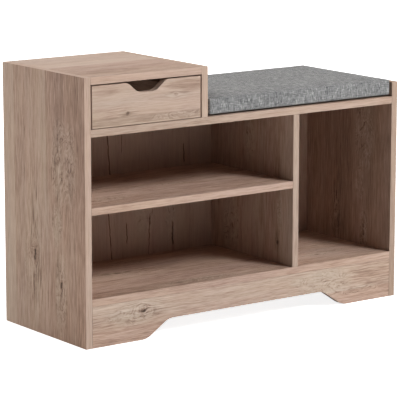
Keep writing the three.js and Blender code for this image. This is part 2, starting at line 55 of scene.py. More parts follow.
X, Y, Z = 0, 1, 2


# ---------------------------------------------------------------- node graphs


def srgb(red, green, blue):
    """An 8-bit display colour as linear RGBA."""

    def linear(value):
        value /= 255
        return value / 12.92 if value <= 0.04045 else ((value + 0.055) / 1.055) ** 2.4

    return (linear(red), linear(green), linear(blue), 1)


class Graph:
    """A material's node tree, with a method for each kind of node that the finishes use."""

    def __init__(self, name):
        self.material = bpy.data.materials.new(name)
        self.material.use_nodes = True
        self.tree = self.material.node_tree
        self.tree.nodes.clear()

    def node(self, kind, **settings):
        made = self.tree.nodes.new(kind)
        for key, value in settings.items():
            setattr(made, key, value)
        return made

    def feed(self, socket, value):
        if isinstance(value, bpy.types.NodeSocket):
            self.tree.links.new(value, socket)
        elif value is not None:
            socket.default_value = value

    def math(self, operation, *values, clamp=False):
        made = self.node("ShaderNodeMath", operation=operation, use_clamp=clamp)
        for socket, value in zip(made.inputs, values):
            self.feed(socket, value)
        return made.outputs[0]

    def add(self, *values):
        total = values[0]
        for value in values[1:]:
            total = self.math("ADD", total, value)
        return total

    def times(self, *values):
        total = values[0]
        for value in values[1:]:
            total = self.math("MULTIPLY", total, value)
        return total

    def less(self, a, b):
        return self.math("SUBTRACT", a, b)

    def mix(self, factor, a, b):
        made = self.node("ShaderNodeMix", data_type="FLOAT")
        for socket, value in zip(made.inputs[:4], (factor, None, a, b)):
            self.feed(socket, value)
        return made.outputs[0]

    def blend(self, factor, a, b, mode="MIX"):
        made = self.node("ShaderNodeMix", data_type="RGBA", blend_type=mode)
        self.feed(made.inputs[0], factor)
        self.feed(made.inputs[6], a)
        self.feed(made.inputs[7], b)
        return made.outputs[2]

    def step(self, value, low, high, start=0.0, end=1.0):
        """Turns smoothly from start to end as value goes from low to high."""
        made = self.node("ShaderNodeMapRange", interpolation_type="SMOOTHSTEP")
        for socket, item in zip(made.inputs[:5], (value, low, high, start, end)):
            self.feed(socket, item)
        return made.outputs[0]

    def point(self, x, y, z=0.0):
        made = self.node("ShaderNodeCombineXYZ")
        for socket, value in zip(made.inputs, (x, y, z)):
            self.feed(socket, value)
        return made.outputs[0]

    def split(self, vector):
        made = self.node("ShaderNodeSeparateXYZ")
        self.feed(made.inputs[0], vector)
        return list(made.outputs)

    def noise(self, place, detail=2.0, roughness=0.5, distortion=0.0):
        made = self.node("ShaderNodeTexNoise")
        self.feed(made.inputs["Vector"], place)
        made.inputs["Scale"].default_value = 1
        made.inputs["Detail"].default_value = detail
        made.inputs["Roughness"].default_value = roughness
        made.inputs["Distortion"].default_value = distortion
        return made.outputs[0]

    def grain(self, u, v, across_u, across_v, seed, **settings):
        """Noise with its own scale along each of two coordinates, about zero."""
        place = self.point(self.times(u, across_u), self.times(v, across_v), seed)
        return self.less(self.noise(place, **settings), 0.5)

    def speckle(self, place, scales, shift=None, **settings):
        """Noise with its own scale along each axis, from 0 to 1. shift moves it along Z."""
        x, y, z = (self.times(part, scale) for part, scale in zip(place, scales))
        return self.noise(self.point(x, y, z if shift is None else self.add(z, shift)), **settings)

    def ramp(self, value, stops):
        made = self.node("ShaderNodeValToRGB")
        elements = made.color_ramp.elements
        while len(elements) < len(stops):
            elements.new(0.5)
        for element, (place, colour) in zip(elements, stops):
            element.position = place
            element.color = colour
        self.feed(made.inputs[0], value)
        return made.outputs[0]

    def place(self):
        """The three coordinates of a point in the row frame, on a piece whose origin is the frame's."""
        return self.split(self.node("ShaderNodeTexCoord").outputs["Object"])

    def normal(self):
        return self.split(self.node("ShaderNodeNewGeometry").outputs["Normal"])

    def facing(self):
        """How far the surface faces along each axis, from 0 to 1."""
        return [self.math("ABSOLUTE", part) for part in self.normal()]

    def arris(self, facing):
        """1 on a rounded edge and 0 on a flat face."""
        flat = self.math("MAXIMUM", facing[X], self.math("MAXIMUM", facing[Y], facing[Z]))
        return self.step(flat, 0.80, 0.97, 1, 0)

    def bump(self, height, depth):
        made = self.node("ShaderNodeBump")
        made.inputs["Strength"].default_value = 1
        made.inputs["Distance"].default_value = depth
        self.feed(made.inputs["Height"], height)
        return made.outputs[0]

    def finish(self, colour, roughness, normal=None, **fixed):
        """Ends the tree in a shader. fixed holds its constant inputs, with _ for each space of the name."""
        shader = self.node("ShaderNodeBsdfPrincipled")
        self.feed(shader.inputs["Base Color"], colour)
        self.feed(shader.inputs["Roughness"], roughness)
        self.feed(shader.inputs["Normal"], normal)
        for name, value in fixed.items():
            shader.inputs[name.replace("_", " ")].default_value = value
        output = self.node("ShaderNodeOutputMaterial")
        self.tree.links.new(shader.outputs[0], output.inputs["Surface"])
        return self.material


# ---------------------------------------------------------------- wood

CRACK = srgb(82, 66, 56)
DARK = srgb(131, 107, 94)
STREAK = srgb(170, 143, 126)
BODY = srgb(191, 166, 149)
PALE = srgb(201, 178, 161)
LIGHT = srgb(214, 194, 177)
PINK = (1.035, 0.985, 0.975, 1)
OLIVE = (0.965, 1.005, 1.01, 1)
YELLOW = (1.01, 1.0, 0.96, 1)
ROSE = (0.995, 0.995, 1.035, 1)
RUBBED = srgb(214, 196, 181)

# A board's rims and ends read the grain this far away, in metres, so that no figure runs over an edge.
RIM_SHIFT = 5.3
END_SHIFT = 9.7

# How far each layer of the grain moves the tone, from the widest layer to the finest.
CLOUD_DEPTH, BAND_DEPTH, STREAK_DEPTH, HAIR_DEPTH, FIBRE_DEPTH = 0.38, 0.16, 0.32, 0.74, 0.46
BASE_TONE = 0.565
EDGE_LIFT, EDGE_CONTRAST = 0.04, 0.62
SEAM_DEPTH = 0.07
CRACK_DEPTH = 0.5
OAK_BUMP = 0.00022


def round_knots(g, u, v, knots, seed):
    """v bent round each knot, then how dark the knots are, and the haloes round them from 0 to 1."""
    knot, halo = 0.0, 0.0
    for ku, kv, radius, stretch in knots:
        du, dv = g.times(g.less(u, ku), 1 / stretch), g.less(v, kv)
        far = g.math("SQRT", g.add(g.times(du, du), g.times(dv, dv)))
        wobble = g.grain(u, v, 130, 190, seed + ku, detail=2)
        ragged = g.add(far, g.times(wobble, radius * 1.1))
        core = g.step(ragged, radius * 0.55, radius * 1.25, 1, 0)
        heart = g.step(ragged, radius * 0.1, radius * 0.55, 1, 0)
        rings = g.math("SINE", g.times(ragged, 2 * math.pi / (0.45 * radius)))
        fill = g.times(core, g.add(0.19, g.times(rings, 0.08), g.times(wobble, 0.4)))
        knot = g.add(knot, fill, g.times(heart, 0.03))
        long_du = g.times(du, 0.4)
        round_it = g.math("SQRT", g.add(g.times(long_du, long_du), g.times(dv, dv)))
        halo = g.math("MAXIMUM", halo, g.step(round_it, radius * 0.7, radius * 3.2, 1, 0))
        push = g.math("DIVIDE", radius**2 * 1.1, g.math("MAXIMUM", g.times(far, far), radius**2 * 1.1))
        v = g.less(v, g.times(dv, push, 0.8))
    return v, knot, halo


def bow_to_arches(g, u, v, arch, seed):
    """v turned into the nested arches of a flat-sawn board."""
    centre, half, taper = arch
    off = g.less(v, centre)
    bowed = g.math("SQRT", g.add(g.times(off, off), half * half))
    return g.add(bowed, g.times(u, taper), g.times(g.grain(u, v, 5, 40, seed + 8.8, detail=1), 0.006))


def lay_planks(g, v, face, planks, tone, warmth):
    """The tone and warmth of each plank of the decor, with a fine dark seam where a plank starts."""
    for start, plank_tone, plank_warmth in planks:
        inside = g.times(g.step(v, start - 0.0008, start + 0.0008), face)
        tone = g.add(tone, g.times(inside, plank_tone))
        warmth = g.add(warmth, g.times(inside, plank_warmth))
        seam = g.step(g.math("ABSOLUTE", g.less(v, start)), 0.0004, 0.0016, 1, 0)
        tone = g.less(tone, g.times(seam, face, SEAM_DEPTH))
    return tone, warmth


def ellipse(g, u, v, middle_u, middle_v, half_u, half_v):
    """0 at an ellipse's middle and 1 at its rim."""
    du = g.times(g.less(u, middle_u), 1 / half_u)
    dv = g.times(g.less(v, middle_v), 1 / half_v)
    return g.add(g.times(du, du), g.times(dv, dv))


def rough_marks_at(g, u, v, ru, rv, seed):
    """The curled dark and pale lines, and the flecks, of a rough-sawn patch."""
    curl = g.grain(u, v, 22, 46, seed + ru * 9, detail=2, roughness=0.55, distortion=1.2)
    wave = g.math("ABSOLUTE", g.math("SINE", g.times(curl, 17)))
    dark, pale = g.step(wave, 0.0, 0.5, 1, 0), g.step(wave, 0.75, 1.0)
    broken = g.step(g.grain(u, v, 48, 80, seed + rv * 7 + 3, detail=2), -0.08, 0.12)
    fleck = g.step(g.grain(u, v, 150, 220, seed + rv * 5, detail=1), 0.07, 0.2)
    return g.add(g.times(dark, broken, 0.25), g.times(fleck, 0.11), g.times(pale, -0.13), -0.03)


def crack_line(g, u, v, v_plain, crack, seed):
    """A jagged line with gaps in it, dark in the middle and pale where its rim is torn."""
    cu, cv, half_u, half_v, tilt = crack
    jag = g.times(g.grain(u, v, 60, 20, seed + cv * 11, detail=2), 0.006)
    leaning = g.less(g.less(v_plain, cv), g.times(g.less(u, cu), tilt))
    off = g.math("ABSOLUTE", g.add(leaning, jag))
    line = g.step(off, half_v * 0.3, half_v * 1.6, 1, 0)
    torn = g.step(g.math("ABSOLUTE", g.less(off, half_v * 2.8)), 0.0, half_v, 0.22, 0)
    gaps = g.step(g.grain(u, v_plain, 24, 3, seed + cu * 5, detail=1), -0.12, 0.02, 0.35, 1.0)
    reach = g.step(g.math("ABSOLUTE", g.less(u, cu)), half_u * 0.7, half_u, 1, 0)
    return g.times(g.less(line, torn), reach, gaps)


def oak_colour(g, u, v, value, warm, aged, seed):
    """The wood's colour at a tone. aged is where the print turns greyer, round knots and rough patches."""
    wood = g.ramp(
        value,
        [(0.0, CRACK), (0.2, DARK), (0.4, STREAK), (0.56, BODY), (0.7, PALE), (0.92, LIGHT)],
    )
    hue = g.add(0.5, g.times(g.grain(u, v, 1.9, 24, seed + 12.5, detail=2), 1.5), warm)
    hue = g.math("ADD", g.less(hue, g.times(aged, 0.45)), 0.0, clamp=True)
    wood = g.blend(1.0, wood, g.blend(hue, OLIVE, PINK), "MULTIPLY")
    hue = g.add(0.5, g.times(g.grain(u, v, 3.4, 17, seed + 22.5, detail=2), 1.9))
    hue = g.math("ADD", hue, 0.0, clamp=True)
    return g.blend(1.0, wood, g.blend(hue, YELLOW, ROSE), "MULTIPLY")


def rub_arris(g, wood, facing, u, v_plain, seed):
    """The colour, a little darker on a rounded edge and with a few pale rubs, and where that edge is."""
    arris = g.arris(facing)
    rub = g.step(g.grain(u, v_plain, 40, 90, seed + 15.2, detail=2), 0.02, 0.22)
    wood = g.blend(g.times(arris, 0.4), wood, DARK)
    return g.blend(g.times(arris, g.times(rub, 0.5)), wood, RUBBED), arris


def oak(
    name,
    along,
    across,
    seed,
    planks=(),
    knots=(),
    cracks=(),
    rustic=(),
    stains_and_painted_light=(),
    arch=None,
    tone=0.0,
    warmth=0.0,
    contrast=1.0,
    raw_rear=False,
):
    """Printed oak decor on a board, in row-frame metres.

    along and across are the axes of the face's grain. planks are (start, tone, warmth) across the grain;
    knots (along, across, radius, stretch); cracks (along, across, half length, half width, tilt); rustic and
    stains_and_painted_light are (along, across, half length, half width, strength), darker for a positive
    strength and lighter for a negative one; arch is (centre across, half width, taper) of flat-sawn figure.
    """
    g = Graph(name)
    thin = 3 - along - across
    place, facing = g.place(), g.facing()
    rim = g.step(facing[across], 0.5, 0.85)
    end = g.step(facing[along], 0.5, 0.85)
    edge = g.math("MAXIMUM", rim, end)
    face = g.less(1.0, edge)
    u = g.mix(end, place[along], place[across])
    v_rim = g.mix(rim, place[across], g.add(place[thin], RIM_SHIFT))
    v_plain = g.mix(end, v_rim, g.add(place[thin], END_SHIFT))

    # The grain sways, and flows round each knot.
    sway = g.grain(u, v_plain, 2.3, 7.0, seed, detail=1)
    ripple = g.grain(u, v_plain, 11.0, 34.0, seed + 3.1, detail=1)
    v = g.add(v_plain, g.times(sway, 0.011), g.times(ripple, 0.0032))
    v, knot, halo = round_knots(g, u, v, knots, seed)
    lines = bow_to_arches(g, u, v, arch, seed) if arch else v
    shift, warm = lay_planks(g, v, face, planks, tone, warmth)

    cloud = g.grain(u, v, 2.6, 11, seed + 1.7, detail=3, roughness=0.55)
    band = g.grain(u, lines, 3.1, 60, seed + 4.2, detail=2, roughness=0.55)
    streak = g.grain(u, lines, 10, 190, seed + 6.4, detail=3, roughness=0.62)
    hair = g.grain(u, v, 24, 430, seed + 5.5, detail=2, roughness=0.6)
    fibre = g.grain(u, v, 42, 1150, seed + 9.3, detail=2, roughness=0.6)
    pores = g.step(g.grain(u, v, 70, 1900, seed + 2.6, detail=1), 0.10, 0.2)
    patches = g.step(g.grain(u, v, 4, 26, seed + 7.9, detail=2), 0.02, 0.2)
    dashes = g.step(g.grain(u, v, 30, 480, seed + 31.4, detail=2), 0.09, 0.24)
    coarse = g.add(g.times(band, BAND_DEPTH), g.times(streak, STREAK_DEPTH), g.times(hair, HAIR_DEPTH))
    coarse = g.times(coarse, g.add(1.0, g.times(halo, 1.6), g.times(patches, 0.3)))
    figure = g.times(g.add(g.times(cloud, CLOUD_DEPTH), coarse, g.times(fibre, FIBRE_DEPTH)), contrast)

    rough_marks, burl = 0.0, 0.0
    for ru, rv, half_u, half_v, strength in rustic:
        far = g.add(ellipse(g, u, v, ru, rv, half_u, half_v), g.times(cloud, 1.6), band)
        inside = g.times(g.step(far, 0.2, 1.15, 1, 0), face, strength)
        rough_marks = g.add(rough_marks, g.times(inside, rough_marks_at(g, u, v, ru, rv, seed)))
        burl = g.math("MAXIMUM", burl, inside)
        figure = g.times(figure, g.less(1.0, g.times(inside, 0.3)))

    figure = g.times(figure, g.mix(edge, 1.0, EDGE_CONTRAST))
    value = g.add(BASE_TONE, shift, figure, g.times(edge, EDGE_LIFT))
    value = g.less(value, g.times(pores, g.mix(patches, 0.03, 0.11)))
    dash_depth = g.add(0.045, g.times(patches, 0.06), g.times(halo, 0.26), g.times(burl, 0.18))
    dark_dashes = g.times(dashes, dash_depth, contrast)
    value = g.less(value, g.add(g.times(patches, 0.03), rough_marks, dark_dashes))
    for su, sv, half_u, half_v, strength in stains_and_painted_light:
        far = g.add(ellipse(g, u, v, su, sv, half_u, half_v), g.times(cloud, 1.6), g.times(band, 1.2))
        value = g.less(value, g.times(g.step(far, 0.2, 1.2, 1, 0), face, strength))
    if knots:
        value = g.less(value, g.times(g.add(knot, g.times(halo, 0.02)), face))
    for crack in cracks:
        value = g.less(value, g.times(crack_line(g, u, v, v_plain, crack, seed), face, CRACK_DEPTH))

    aged = g.math("MAXIMUM", g.times(halo, face), burl)
    wood = oak_colour(g, u, v, value, warm, aged, seed)
    wood, arris = rub_arris(g, wood, facing, u, v_plain, seed)
    roughness = g.add(0.66, g.times(value, -0.06), g.times(pores, 0.08), g.times(arris, -0.08))
    height = g.add(g.times(streak, 0.35), g.times(hair, 0.5), g.times(fibre, 0.7), g.times(pores, -0.6))
    height = g.less(height, g.times(rough_marks, 1.2))
    if raw_rear:
        wood, roughness = raw_hardboard(g, place, wood, roughness)
    return g.finish(wood, roughness, g.bump(height, OAK_BUMP), Specular_IOR_Level=0.14)


def raw_hardboard(g, place, front_colour, front_roughness):
    """The unprinted rear of a thin back board, over the colour and roughness of its front."""
    rear = g.step(g.normal()[Y], 0.3, 0.7)
    fibres = g.speckle(place, (300, 90, 420), detail=4, roughness=0.7)
    blotch = g.speckle(place, (9, 0, 9), detail=3)
    flake = g.speckle(place, (90, 0, 150), detail=2)
    shade = g.add(g.times(fibres, 0.6), g.times(blotch, 0.45), g.times(g.step(flake, 0.55, 0.72), 0.22), -0.1)
    stops = [(0.2, srgb(112, 86, 64)), (0.5, srgb(143, 116, 90)), (0.8, srgb(172, 146, 118))]
    board = g.ramp(shade, stops)
    return g.blend(rear, front_colour, board), g.mix(rear, front_roughness, 0.78)


# ---------------------------------------------------------------- other finishes


THREAD_PITCH = 0.0013


def linen(name, middle_x, top):
    """Heather-grey plain weave that runs over the sides, from the cushion's middle and its upper face."""
    g = Graph(name)
    place, facing = g.place(), g.facing()
    drop = g.less(top, place[Z])
    side_x = g.times(drop, g.step(facing[X], 0.2, 0.8), g.math("SIGN", g.less(place[X], middle_x)))
    side_y = g.times(drop, g.step(facing[Y], 0.2, 0.8), g.math("SIGN", place[Y]))
    u, v = g.add(place[X], side_x), g.add(place[Y], side_y)
    u = g.add(u, g.times(g.grain(u, v, 30, 30, 0.4, detail=1), 0.0012))
    v = g.add(v, g.times(g.grain(u, v, 30, 30, 6.4, detail=1), 0.0012))
    turn = 2 * math.pi / THREAD_PITCH
    weft, warp = g.math("SINE", g.times(v, turn)), g.math("SINE", g.times(u, turn))
    over = g.math("SINE", g.times(g.add(u, v), turn / 2))
    under = g.math("SINE", g.times(g.less(u, v), turn / 2))
    weave = g.times(over, under)
    level = g.step(facing[Z], 0.3, 0.8)
    long_weft = g.grain(u, v, 62, 640, 1.3, detail=3, roughness=0.7)
    long_warp = g.grain(u, v, 640, 62, 2.9, detail=3, roughness=0.7)
    slub_weft = g.step(g.grain(u, v, 70, 400, 5.1, detail=2), 0.07, 0.19)
    slub_warp = g.step(g.grain(u, v, 400, 85, 7.7, detail=2), 0.06, 0.18)
    dark_weft = g.step(g.grain(u, v, 75, 400, 9.1, detail=2), 0.07, 0.19)
    dark_warp = g.step(g.grain(u, v, 400, 90, 11.7, detail=2), 0.06, 0.18)
    cloud = g.grain(u, v, 14, 14, 3.3, detail=3)
    # The weft's slubs show most on the top, and the warp's on the sides.
    lengthwise, upright = g.mix(level, 0.5, 1.05), g.mix(level, 1.1, 0.5)
    value = g.add(
        0.5,
        g.times(long_weft, 0.8),
        g.times(long_warp, 0.8),
        g.times(slub_weft, lengthwise, 0.24),
        g.times(slub_warp, upright, 0.24),
        g.times(dark_weft, lengthwise, -0.22),
        g.times(dark_warp, upright, -0.22),
        g.times(cloud, 0.16),
        g.times(weave, 0.09),
    )
    colour = g.ramp(
        value,
        [
            (0.0, srgb(64, 65, 67)),
            (0.3, srgb(104, 105, 106)),
            (0.5, srgb(140, 139.5, 139)),
            (0.72, srgb(174, 173, 172)),
            (1.0, srgb(214, 212, 210)),
        ],
    )
    height = g.add(g.times(g.math("MAXIMUM", weft, warp), 0.5), g.times(weave, 0.5), g.times(long_weft, 0.6))
    height = g.add(height, g.times(long_warp, 0.6))
    return g.finish(
        colour,
        g.add(0.86, g.times(value, 0.1)),
        g.bump(height, 0.00035),
        Specular_IOR_Level=0.2,
        Sheen_Weight=0.12,
        Sheen_Roughness=0.5,
    )


def steel(name, colour, dark, metallic, roughness, seed, scale=500.0):
    """Plated or painted metal with fine pitting, faint scuffs and paler worn edges."""
    g = Graph(name)
    place = g.place()
    pits = g.speckle(place, (scale,) * 3, detail=3, roughness=0.65)
    scuffs = g.speckle(place, (900, 60, 900), detail=2)
    cloud = g.speckle(place, (60, 60, 60), seed, detail=2)
    shade = g.add(g.times(pits, 0.5), g.times(cloud, 0.5))
    worn = g.times(g.arris(g.facing()), g.step(cloud, 0.4, 0.6))
    tint = g.blend(g.step(shade, 0.35, 0.65), dark, colour)
    tint = g.blend(g.times(worn, 0.5), tint, srgb(225, 225, 224))
    rough = g.add(roughness - 0.1, g.times(scuffs, 0.2))
    return g.finish(tint, rough, g.bump(g.add(pits, g.times(scuffs, 0.4)), 0.00006), Metallic=metallic)


def nylon(name):
    """Moulded nylon with faint wear marks."""
    g = Graph(name)
    place = g.place()
    cloud = g.speckle(place, (130, 130, 130), detail=3)
    marks = g.speckle(place, (1800, 300, 300), detail=2)
    colour = g.blend(g.step(cloud, 0.35, 0.7), srgb(226, 224, 214), srgb(244, 243, 237))
    colour = g.blend(g.times(g.step(marks, 0.6, 0.75), 0.4), colour, srgb(188, 184, 172))
    return g.finish(colour, g.add(0.32, g.times(marks, 0.15)), g.bump(marks, 0.00005))


def plywood(name, low, high):
    """A thin plywood board: pale rotary-cut face and darker plies at its rims."""
    g = Graph(name)
    place, facing = g.place(), g.facing()
    x, y, z = place
    sway = g.times(g.grain(x, y, 4, 14, 3.3, detail=2), 0.03)
    rings = g.grain(x, g.add(y, sway), 3, 75, 1.1, detail=3, roughness=0.6)
    fine = g.grain(x, y, 30, 900, 4.4, detail=2)
    ply = g.math("SINE", g.times(g.less(z, low[Z]), 3 * math.pi / (high[Z] - low[Z])))
    rim = g.step(facing[Z], 0.4, 0.8, 1, 0)
    value = g.add(0.55, g.times(rings, 0.9), g.times(fine, 0.35), g.times(rim, g.times(ply, 0.22)))
    stops = [(0.1, srgb(140, 108, 72)), (0.5, srgb(190, 160, 120)), (0.9, srgb(218, 192, 154))]
    colour = g.ramp(value, stops)
    return g.finish(colour, 0.75, g.bump(g.add(fine, rings), 0.0002), Specular_IOR_Level=0.3)


TAPE_PITCH = 0.0012


def tape(name, dark, light, seed):
    """Woven nylon ground of hook or loop tape."""
    g = Graph(name)
    place = g.place()
    turn = 2 * math.pi / TAPE_PITCH
    weave = g.times(*(g.math("SINE", g.times(place[axis], turn)) for axis in (X, Y)))
    fuzz = g.speckle(place, (1500, 1500, 1500), seed, detail=3)
    value = g.add(0.3, g.times(weave, 0.2), g.times(fuzz, 0.5))
    colour = g.blend(value, dark, light)
    return g.finish(colour, 0.8, g.bump(g.add(weave, fuzz), 0.0002), Specular_IOR_Level=0.3)


# ---------------------------------------------------------------- mesh helpers


def linked(name, data):
    """A new object in the scene, with this mesh, lamp or camera in it."""
    piece = bpy.data.objects.new(name, data)
    bpy.context.scene.collection.objects.link(piece)
    return piece


def new_piece(name, mesh, body, material):
    piece = linked(name, mesh)
    mesh.materials.append(material)
    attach(piece, body)
    return piece


def mesh_of(name, bm):
    """The mesh in bm, with its normals turned outward. bm is freed."""
    mesh = bpy.data.meshes.new(name)
    bmesh.ops.recalc_face_normals(bm, faces=bm.faces)
    bm.to_mesh(mesh)
    bm.free()
    return mesh


def bridge(bm, lower, upper):
    """Faces all the way round between two rings of vertices."""
    for i in range(len(lower)):
        j = (i + 1) % len(lower)
        bm.faces.new((lower[i], lower[j], upper[j], upper[i]))


def smooth_group():
    """A geometry node group that shades a piece smooth, so that its weighted normals show."""
    tree = bpy.data.node_groups.new("shade_smooth", "GeometryNodeTree")
    tree.interface.new_socket("Geometry", in_out="INPUT", socket_type="NodeSocketGeometry")
    tree.interface.new_socket("Geometry", in_out="OUTPUT", socket_type="NodeSocketGeometry")
    start = tree.nodes.new("NodeGroupInput")
    shade = tree.nodes.new("GeometryNodeSetShadeSmooth")
    end = tree.nodes.new("NodeGroupOutput")
    tree.links.new(start.outputs[0], shade.inputs[0])
    tree.links.new(shade.outputs[0], end.inputs[0])
    return tree


SMOOTH = smooth_group()


def soften(piece, width, segments=2, angle=40):
    """Joins the piece's triangles into flat faces and rounds its edges."""
    weld = piece.modifiers.new("weld", "WELD")
    weld.merge_threshold = 0.00001
    flat = piece.modifiers.new("flat_faces", "DECIMATE")
    flat.decimate_type = "DISSOLVE"
    flat.angle_limit = math.radians(1)
    bevel = piece.modifiers.new("round_edges", "BEVEL")
    bevel.width = width
    bevel.segments = segments
    bevel.limit_method = "ANGLE"
    bevel.angle_limit = math.radians(angle)
    bevel.use_clamp_overlap = True
    shade = piece.modifiers.new("shade", "NODES")
    shade.node_group = SMOOTH
    weighted = piece.modifiers.new("normals", "WEIGHTED_NORMAL")
    weighted.keep_sharp = False


def dress(node, material, width, segments=2):
    """Gives a CAD node its finish and its rounded edges."""
    piece = NODES[node]
    piece.data.materials.clear()
    piece.data.materials.append(material)
    soften(piece, width, segments)


# ---------------------------------------------------------------- boards

# The look of each board. What the numbers mean is said in oak().
WOOD = {
    "left_side_panel": dict(
        along=Z, across=Y, seed=1.0, warmth=0.12,
        planks=[(-0.200, -0.11, 0.25), (-0.011, 0.10, -0.25), (0.105, 0.16, -0.30)],
        knots=[(0.169, 0.036, 0.0135, 1.9), (0.115, -0.062, 0.0050, 2.0), (0.365, -0.052, 0.0085, 1.5)],
        rustic=[
            (0.350, -0.070, 0.105, 0.056, 1.0), (0.235, -0.045, 0.050, 0.030, 1.0),
            (0.110, -0.062, 0.100, 0.022, 1.0), (0.150, 0.046, 0.085, 0.028, 0.6),
        ],
        stains_and_painted_light=[(0.16, 0.035, 0.11, 0.028, 0.05), (0.10, 0.00, 0.20, 0.20, -0.05)],
        cracks=[(0.40, 0.072, 0.10, 0.0006, 0.0)],
    ),
    "right_side_panel": dict(
        # tone and warmth make this whole board darker and less red: painted shade, for the shade on its inner
        # face inside the bay.
        along=Z, across=Y, seed=3.0, tone=-0.13, warmth=-0.3, contrast=0.6,
        planks=[(-0.200, -0.04, 0.35), (-0.090, -0.04, 0.0), (-0.020, -0.05, 0.1), (0.070, 0.02, -0.1)],
        knots=[(0.165, 0.031, 0.0060, 1.8), (0.125, -0.062, 0.0038, 2.0)],
        rustic=[
            (0.350, -0.060, 0.095, 0.036, 0.8), (0.235, -0.048, 0.050, 0.020, 0.7),
            (0.130, -0.062, 0.070, 0.018, 0.8), (0.150, 0.035, 0.060, 0.022, 0.5),
        ],
    ),
    "tower_side_panel": dict(along=Z, across=Y, seed=5.0, planks=[(0.03, 0.05, 0.1)]),
    "middle_divider": dict(
        along=Z, across=Y, seed=7.0, tone=-0.08, contrast=0.75,
        planks=[(-0.200, 0.07, 0.0), (-0.105, -0.09, 0.1)],
        knots=[(0.144, -0.098, 0.0036, 1.4)],
        rustic=[
            (0.22, -0.105, 0.06, 0.010, 0.9), (0.35, 0.0, 0.06, 0.03, 0.8), (0.16, 0.06, 0.07, 0.04, 0.9),
        ],
    ),
    "tower_top_panel": dict(
        along=X, across=Y, seed=9.0, warmth=0.25, contrast=0.8,
        planks=[(-0.200, -0.06, 0.0), (-0.08, 0.02, 0.05), (0.005, 0.18, -0.30)],
        stains_and_painted_light=[(-0.30, -0.10, 0.09, 0.03, 0.08)],
        arch=(0.0, 0.02, 0.05),
    ),
    "seat_panel": dict(along=X, across=Y, seed=11.0, tone=-0.035, arch=(0.02, 0.03, 0.04)),
    "middle_shelf": dict(
        along=X, across=Y, seed=13.0, warmth=0.7, tone=-0.015, contrast=1.25,
        knots=[(-0.29, 0.02, 0.005, 2.0)],
        rustic=[(-0.30, -0.08, 0.06, 0.03, 0.9), (-0.12, -0.02, 0.10, 0.02, 0.8)],
        planks=[(0.01, 0.02, 0.05)],
        stains_and_painted_light=[(-0.12, 0.0, 0.15, 0.07, 0.05)],
        arch=(-0.03, 0.02, -0.05),
    ),
    "bottom_panel": dict(
        along=X, across=Y, seed=15.0, warmth=0.45, tone=-0.04, contrast=1.25,
        knots=[(-0.21, 0.02, 0.005, 2.0), (0.24, -0.08, 0.004, 2.0)],
        rustic=[
            (-0.10, -0.125, 0.10, 0.014, 1.0), (-0.13, 0.09, 0.06, 0.03, 1.0), (-0.20, 0.0, 0.08, 0.03, 0.7),
            (0.28, -0.06, 0.07, 0.03, 0.8),
        ],
        # The second of these, of negative strength, is painted light: a lighter patch on the left of the
        # board's top, laid over the shade that falls there.
        stains_and_painted_light=[(-0.10, -0.127, 0.09, 0.010, 0.10), (-0.26, -0.02, 0.10, 0.06, -0.07)],
        planks=[(-0.03, 0.02, 0.1)],
    ),
    "front_apron": dict(
        along=X, across=Z, seed=17.0, contrast=1.2,
        knots=[(-0.267, 0.064, 0.0088, 1.3)],
        rustic=[
            (-0.290, 0.060, 0.075, 0.024, 1.0), (0.210, 0.050, 0.085, 0.036, 1.0),
            (0.135, 0.066, 0.030, 0.012, 0.9), (0.300, 0.028, 0.060, 0.010, 0.8),
        ],
        planks=[(0.0, 0.03, 0.60), (0.030, 0.03, -0.55)],
        stains_and_painted_light=[(0.34, 0.03, 0.08, 0.05, 0.07), (-0.37, 0.03, 0.05, 0.05, 0.05)],
    ),
    "rear_rail": dict(along=X, across=Z, seed=19.0),
    "drawer_front": dict(
        along=X, across=Z, seed=21.0, tone=0.02, contrast=0.62,
        planks=[(0.4420, -0.13, -0.40), (0.4560, 0.13, 0.38)],
        knots=[(-0.298, 0.4605, 0.0038, 1.1), (-0.182, 0.4890, 0.0036, 1.8)],
        stains_and_painted_light=[(-0.350, 0.508, 0.045, 0.012, 0.13), (-0.155, 0.506, 0.060, 0.017, 0.19)],
        rustic=[(-0.18, 0.449, 0.07, 0.008, 0.8)],
    ),
    "drawer_left_side": dict(along=Y, across=Z, seed=23.0),
    "drawer_right_side": dict(along=Y, across=Z, seed=25.0),
    "drawer_back": dict(along=X, across=Z, seed=27.0),
}
# The same for the thin boards, which have finer edges.
BACKS = {
    "back_panel": dict(
        along=Z, across=X, seed=31.0, warmth=0.2, contrast=0.42,
        # The last plank, from 0.22 along X, is darker: painted shade, for the shade that falls on the back
        # inside the right-hand bay.
        planks=[(-0.156, 0.04, 0.0), (-0.04, -0.03, 0.1), (0.06, 0.04, -0.1), (0.22, -0.10, 0.1)],
        cracks=[
            (0.335, -0.152, 0.085, 0.0014, -0.07), (0.150, -0.149, 0.100, 0.0012, -0.09),
            (0.150, -0.106, 0.026, 0.0012, -0.02), (0.138, -0.048, 0.052, 0.0013, 0.05),
            (0.131, 0.014, 0.038, 0.0019, -0.02), (0.310, 0.044, 0.024, 0.0013, -0.05),
            (0.345, -0.118, 0.022, 0.0007, 0.0),
        ],
        rustic=[
            (0.20, -0.06, 0.08, 0.03, 0.8), (0.17, 0.01, 0.06, 0.02, 0.9), (0.39, -0.10, 0.03, 0.03, 0.7),
        ],
        raw_rear=True,
    ),
    "tower_back_panel": dict(along=Z, across=X, seed=33.0, planks=[(-0.25, 0.04, 0.1)], raw_rear=True),
    "drawer_bottom": dict(along=Y, across=X, seed=35.0, planks=[(-0.25, 0.04, 0.1)]),
}

BOARD_EDGE, THIN_EDGE = 0.0005, 0.0004
for node, look in WOOD.items():
    dress(node, oak(f"oak_{node}", **look), BOARD_EDGE, segments=3)
for node, look in BACKS.items():
    dress(node, oak(f"thin_{node}", **look), THIN_EDGE)

# ---------------------------------------------------------------- fittings

